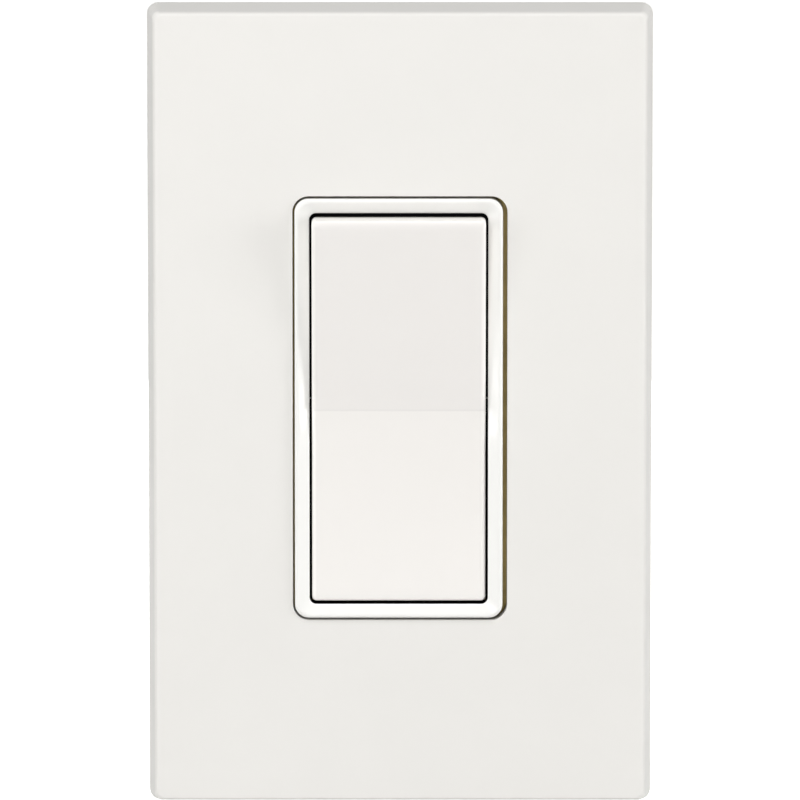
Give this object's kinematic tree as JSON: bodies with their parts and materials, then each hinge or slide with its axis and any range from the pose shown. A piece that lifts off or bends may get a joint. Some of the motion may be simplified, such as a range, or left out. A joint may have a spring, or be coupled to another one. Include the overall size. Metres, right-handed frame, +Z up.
{
  "type": "rocker wall switch",
  "caption": "Decorator rocker light switch with a screwless wall plate: a wide paddle tilts in a bezel frame and works a see-saw contact in the housing behind.",
  "frame": {"origin": "centre of the device in the plane of the wall, midway between the box screws", "axes": "+Z up, -Y out of the wall towards the user, +Y into the box, +X to the user's right"},
  "size_m": [0.0794, 0.0401, 0.127],
  "materials": {
    "plate_white": "smooth semi-gloss",
    "inner_white": "plain moulded",
    "zinc_steel": "bright zinc plated",
    "yellow_zinc": "yellow zinc plated, stamped",
    "fibre": "pressed fibre",
    "frame_white": "smooth semi-gloss",
    "paddle_white": "smooth semi-gloss",
    "black_nylon": "moulded nylon",
    "spring_steel": "drawn and hardened",
    "brass": "stamped, slightly dulled",
    "silver": "silver contact alloy",
    "green_screw": "green plated",
    "housing_white": "plain moulded thermoplastic"
  },
  "bodies": {
    "switch_body": {"subplate": "inner_white", "subplate_screws": "zinc_steel", "mounting_strap": "yellow_zinc", "box_screws": "zinc_steel", "screw_retainers": "fibre", "bezel_frame": "frame_white", "fixed_contact": "silver", "common_terminal": "brass", "load_terminal": "brass", "terminal_screws": "brass", "clamp_plates": "zinc_steel", "push_in_springs": "spring_steel", "ground_screw": "green_screw", "housing": "housing_white", "rivets": "brass"},
    "wall_cover": {"cover_plate": "plate_white"},
    "rocker_paddle": {"paddle": "paddle_white", "plunger_spring": "spring_steel"},
    "spring_plunger": {"plunger": "black_nylon"},
    "see_saw": {"contact_rocker": "brass", "moving_contact": "silver"}
  },
  "joints": [
    {"name": "paddle_tilt", "type": "hinge", "parent": "switch_body", "child": "rocker_paddle", "pos_m": [0, -0.003, 0], "axis": [1, 0, 0], "range_deg": [-6.4, 0]},
    {"name": "plunger_slide", "type": "slide", "parent": "rocker_paddle", "child": "spring_plunger", "axis": [0, 0.9984, 0.0558], "range_m": [-0.0009, 0], "stiffness_N_per_m": 600, "springref_m": 0.002, "deforming": ["plunger_spring"]},
    {"name": "see_saw_tilt", "type": "hinge", "parent": "switch_body", "child": "see_saw", "pos_m": [0, 0.0166, 0], "axis": [1, 0, 0], "range_deg": [0, 11.52]},
    {"name": "cover_pull", "type": "slide", "parent": "switch_body", "child": "wall_cover", "axis": [0, -1, 0], "range_m": [0, 0.02]}
  ],
  "couplings": [
    {"joint": "see_saw_tilt", "follows": "paddle_tilt", "ratio": -1.8}
  ]
}
